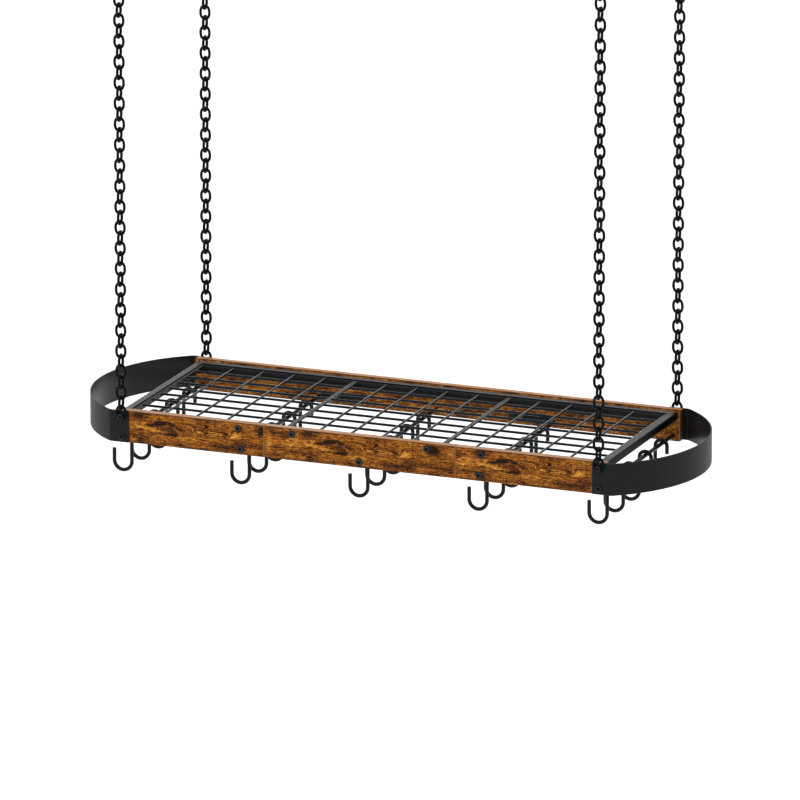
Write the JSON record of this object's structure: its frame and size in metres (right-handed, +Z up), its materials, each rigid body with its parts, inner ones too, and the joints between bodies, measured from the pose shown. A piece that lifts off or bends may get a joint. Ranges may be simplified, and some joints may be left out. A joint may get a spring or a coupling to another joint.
{
  "type": "hanging pot rack",
  "caption": "Long wooden-sided pot rack with curved steel ends, a wire shelf and S-hooks, hung from the ceiling on chains.",
  "frame": {"origin": "on the ceiling, midway between the four ceiling hooks", "axes": "+X along the rack, +Y from its front to its back, +Z up"},
  "size_m": [0.9896, 0.3764, 0.8918],
  "materials": {
    "wood": "satin, oiled",
    "band_steel": "satin black powder coat",
    "shelf_steel": "satin black powder coat",
    "hook_steel": "satin black powder coat",
    "bolt_steel": "blackened steel",
    "chain_steel": "satin black",
    "ceiling_steel": "satin black powder coat"
  },
  "bodies": {
    "ceiling": {"ceiling_hook_front_left": "ceiling_steel", "ceiling_hook_front_right": "ceiling_steel", "ceiling_hook_back_left": "ceiling_steel", "ceiling_hook_back_right": "ceiling_steel"},
    "top_link_front_left": {"top_link_front_left": "chain_steel"},
    "chain_front_left": {"chain_front_left": "chain_steel"},
    "bottom_link_front_left": {"bottom_link_front_left": "chain_steel"},
    "top_link_front_right": {"top_link_front_right": "chain_steel"},
    "chain_front_right": {"chain_front_right": "chain_steel"},
    "bottom_link_front_right": {"bottom_link_front_right": "chain_steel"},
    "top_link_back_left": {"top_link_back_left": "chain_steel"},
    "chain_back_left": {"chain_back_left": "chain_steel"},
    "bottom_link_back_left": {"bottom_link_back_left": "chain_steel"},
    "top_link_back_right": {"top_link_back_right": "chain_steel"},
    "chain_back_right": {"chain_back_right": "chain_steel"},
    "bottom_link_back_right": {"bottom_link_back_right": "chain_steel"},
    "rack": {"rail_board_front_left": "wood", "rail_board_front_middle": "wood", "rail_board_front_right": "wood", "rail_board_back_left": "wood", "rail_board_back_middle": "wood", "rail_board_back_right": "wood", "end_band_left": "band_steel", "end_band_right": "band_steel", "shelf_panel_left": "shelf_steel", "shelf_panel_middle": "shelf_steel", "shelf_panel_right": "shelf_steel", "hook_rod_1": "hook_steel", "hook_rod_2": "hook_steel", "hook_rod_3": "hook_steel", "hook_rod_4": "hook_steel", "hook_rod_5": "hook_steel", "joining_plate_front_left": "band_steel", "joining_plate_front_right": "band_steel", "joining_plate_back_left": "band_steel", "joining_plate_back_right": "band_steel", "chain_bolt_front_left": "bolt_steel", "chain_bolt_front_right": "bolt_steel", "chain_bolt_back_left": "bolt_steel", "chain_bolt_back_right": "bolt_steel"},
    "s_hook_1_1": {"s_hook_1_1": "hook_steel"},
    "s_hook_1_2": {"s_hook_1_2": "hook_steel"},
    "s_hook_1_3": {"s_hook_1_3": "hook_steel"},
    "s_hook_1_4": {"s_hook_1_4": "hook_steel"},
    "s_hook_2_1": {"s_hook_2_1": "hook_steel"},
    "s_hook_2_2": {"s_hook_2_2": "hook_steel"},
    "s_hook_2_3": {"s_hook_2_3": "hook_steel"},
    "s_hook_2_4": {"s_hook_2_4": "hook_steel"},
    "s_hook_3_1": {"s_hook_3_1": "hook_steel"},
    "s_hook_3_2": {"s_hook_3_2": "hook_steel"},
    "s_hook_3_3": {"s_hook_3_3": "hook_steel"},
    "s_hook_3_4": {"s_hook_3_4": "hook_steel"},
    "s_hook_4_1": {"s_hook_4_1": "hook_steel"},
    "s_hook_4_2": {"s_hook_4_2": "hook_steel"},
    "s_hook_4_3": {"s_hook_4_3": "hook_steel"},
    "s_hook_4_4": {"s_hook_4_4": "hook_steel"},
    "s_hook_5_1": {"s_hook_5_1": "hook_steel"},
    "s_hook_5_2": {"s_hook_5_2": "hook_steel"},
    "s_hook_5_3": {"s_hook_5_3": "hook_steel"},
    "s_hook_5_4": {"s_hook_5_4": "hook_steel"}
  },
  "joints": [
    {"name": "swing_front_left", "type": "hinge", "parent": "ceiling", "child": "top_link_front_left", "pos_m": [-0.389, -0.1683, -0.03], "axis": [0, 1, 0], "range_deg": [-12, 12]},
    {"name": "lean_front_left", "type": "hinge", "parent": "top_link_front_left", "child": "chain_front_left", "pos_m": [-0.389, -0.1683, -0.04488], "axis": [1, 0, 0], "range_deg": [-12, 12]},
    {"name": "level_front_left", "type": "hinge", "parent": "chain_front_left", "child": "bottom_link_front_left", "pos_m": [-0.389, -0.1683, -0.76947], "axis": [1, 0, 0], "range_deg": [-12, 12]},
    {"name": "swing_front_right", "type": "hinge", "parent": "ceiling", "child": "top_link_front_right", "pos_m": [0.389, -0.1683, -0.03], "axis": [0, 1, 0], "range_deg": [-12, 12]},
    {"name": "lean_front_right", "type": "hinge", "parent": "top_link_front_right", "child": "chain_front_right", "pos_m": [0.389, -0.1683, -0.04488], "axis": [1, 0, 0], "range_deg": [-12, 12]},
    {"name": "level_front_right", "type": "hinge", "parent": "chain_front_right", "child": "bottom_link_front_right", "pos_m": [0.389, -0.1683, -0.76947], "axis": [1, 0, 0], "range_deg": [-12, 12]},
    {"name": "swing_back_left", "type": "hinge", "parent": "ceiling", "child": "top_link_back_left", "pos_m": [-0.389, 0.1683, -0.03], "axis": [0, 1, 0], "range_deg": [-12, 12]},
    {"name": "lean_back_left", "type": "hinge", "parent": "top_link_back_left", "child": "chain_back_left", "pos_m": [-0.389, 0.1683, -0.04488], "axis": [1, 0, 0], "range_deg": [-12, 12]},
    {"name": "level_back_left", "type": "hinge", "parent": "chain_back_left", "child": "bottom_link_back_left", "pos_m": [-0.389, 0.1683, -0.76947], "axis": [1, 0, 0], "range_deg": [-12, 12]},
    {"name": "swing_back_right", "type": "hinge", "parent": "ceiling", "child": "top_link_back_right", "pos_m": [0.389, 0.1683, -0.03], "axis": [0, 1, 0], "range_deg": [-12, 12]},
    {"name": "lean_back_right", "type": "hinge", "parent": "top_link_back_right", "child": "chain_back_right", "pos_m": [0.389, 0.1683, -0.04488], "axis": [1, 0, 0], "range_deg": [-12, 12]},
    {"name": "level_back_right", "type": "hinge", "parent": "chain_back_right", "child": "bottom_link_back_right", "pos_m": [0.389, 0.1683, -0.76947], "axis": [1, 0, 0], "range_deg": [-12, 12]},
    {"name": "rack_level", "type": "hinge", "parent": "bottom_link_front_left", "child": "rack", "pos_m": [-0.389, -0.1683, -0.78533], "axis": [0, 1, 0], "range_deg": [-12, 12]},
    {"name": "hook_swing_1_1", "type": "hinge", "parent": "rack", "child": "s_hook_1_1", "pos_m": [-0.389, -0.1055, -0.81773], "axis": [0, 1, 0], "range_deg": [-45, 45]},
    {"name": "hook_swing_1_2", "type": "hinge", "parent": "rack", "child": "s_hook_1_2", "pos_m": [-0.389, -0.0372, -0.81773], "axis": [0, 1, 0], "range_deg": [-45, 45]},
    {"name": "hook_swing_1_3", "type": "hinge", "parent": "rack", "child": "s_hook_1_3", "pos_m": [-0.389, 0.0311, -0.81773], "axis": [0, 1, 0], "range_deg": [-45, 45]},
    {"name": "hook_swing_1_4", "type": "hinge", "parent": "rack", "child": "s_hook_1_4", "pos_m": [-0.389, 0.0994, -0.81773], "axis": [0, 1, 0], "range_deg": [-45, 45]},
    {"name": "hook_swing_2_1", "type": "hinge", "parent": "rack", "child": "s_hook_2_1", "pos_m": [-0.1945, -0.1055, -0.81773], "axis": [0, 1, 0], "range_deg": [-45, 45]},
    {"name": "hook_swing_2_2", "type": "hinge", "parent": "rack", "child": "s_hook_2_2", "pos_m": [-0.1945, -0.0372, -0.81773], "axis": [0, 1, 0], "range_deg": [-45, 45]},
    {"name": "hook_swing_2_3", "type": "hinge", "parent": "rack", "child": "s_hook_2_3", "pos_m": [-0.1945, 0.0311, -0.81773], "axis": [0, 1, 0], "range_deg": [-45, 45]},
    {"name": "hook_swing_2_4", "type": "hinge", "parent": "rack", "child": "s_hook_2_4", "pos_m": [-0.1945, 0.0994, -0.81773], "axis": [0, 1, 0], "range_deg": [-45, 45]},
    {"name": "hook_swing_3_1", "type": "hinge", "parent": "rack", "child": "s_hook_3_1", "pos_m": [0, -0.1055, -0.81773], "axis": [0, 1, 0], "range_deg": [-45, 45]},
    {"name": "hook_swing_3_2", "type": "hinge", "parent": "rack", "child": "s_hook_3_2", "pos_m": [0, -0.0372, -0.81773], "axis": [0, 1, 0], "range_deg": [-45, 45]},
    {"name": "hook_swing_3_3", "type": "hinge", "parent": "rack", "child": "s_hook_3_3", "pos_m": [0, 0.0311, -0.81773], "axis": [0, 1, 0], "range_deg": [-45, 45]},
    {"name": "hook_swing_3_4", "type": "hinge", "parent": "rack", "child": "s_hook_3_4", "pos_m": [0, 0.0994, -0.81773], "axis": [0, 1, 0], "range_deg": [-45, 45]},
    {"name": "hook_swing_4_1", "type": "hinge", "parent": "rack", "child": "s_hook_4_1", "pos_m": [0.1945, -0.1055, -0.81773], "axis": [0, 1, 0], "range_deg": [-45, 45]},
    {"name": "hook_swing_4_2", "type": "hinge", "parent": "rack", "child": "s_hook_4_2", "pos_m": [0.1945, -0.0372, -0.81773], "axis": [0, 1, 0], "range_deg": [-45, 45]},
    {"name": "hook_swing_4_3", "type": "hinge", "parent": "rack", "child": "s_hook_4_3", "pos_m": [0.1945, 0.0311, -0.81773], "axis": [0, 1, 0], "range_deg": [-45, 45]},
    {"name": "hook_swing_4_4", "type": "hinge", "parent": "rack", "child": "s_hook_4_4", "pos_m": [0.1945, 0.0994, -0.81773], "axis": [0, 1, 0], "range_deg": [-45, 45]},
    {"name": "hook_swing_5_1", "type": "hinge", "parent": "rack", "child": "s_hook_5_1", "pos_m": [0.389, -0.1055, -0.81773], "axis": [0, 1, 0], "range_deg": [-45, 45]},
    {"name": "hook_swing_5_2", "type": "hinge", "parent": "rack", "child": "s_hook_5_2", "pos_m": [0.389, -0.0372, -0.81773], "axis": [0, 1, 0], "range_deg": [-45, 45]},
    {"name": "hook_swing_5_3", "type": "hinge", "parent": "rack", "child": "s_hook_5_3", "pos_m": [0.389, 0.0311, -0.81773], "axis": [0, 1, 0], "range_deg": [-45, 45]},
    {"name": "hook_swing_5_4", "type": "hinge", "parent": "rack", "child": "s_hook_5_4", "pos_m": [0.389, 0.0994, -0.81773], "axis": [0, 1, 0], "range_deg": [-45, 45]}
  ],
  "couplings": [
    {"joint": "level_front_left", "follows": "lean_front_left", "ratio": -1},
    {"joint": "swing_front_right", "follows": "swing_front_left", "ratio": 1},
    {"joint": "lean_front_right", "follows": "lean_front_left", "ratio": 1},
    {"joint": "level_front_right", "follows": "lean_front_left", "ratio": -1},
    {"joint": "swing_back_left", "follows": "swing_front_left", "ratio": 1},
    {"joint": "lean_back_left", "follows": "lean_front_left", "ratio": 1},
    {"joint": "level_back_left", "follows": "lean_front_left", "ratio": -1},
    {"joint": "swing_back_right", "follows": "swing_front_left", "ratio": 1},
    {"joint": "lean_back_right", "follows": "lean_front_left", "ratio": 1},
    {"joint": "level_back_right", "follows": "lean_front_left", "ratio": -1},
    {"joint": "rack_level", "follows": "swing_front_left", "ratio": -1}
  ]
}
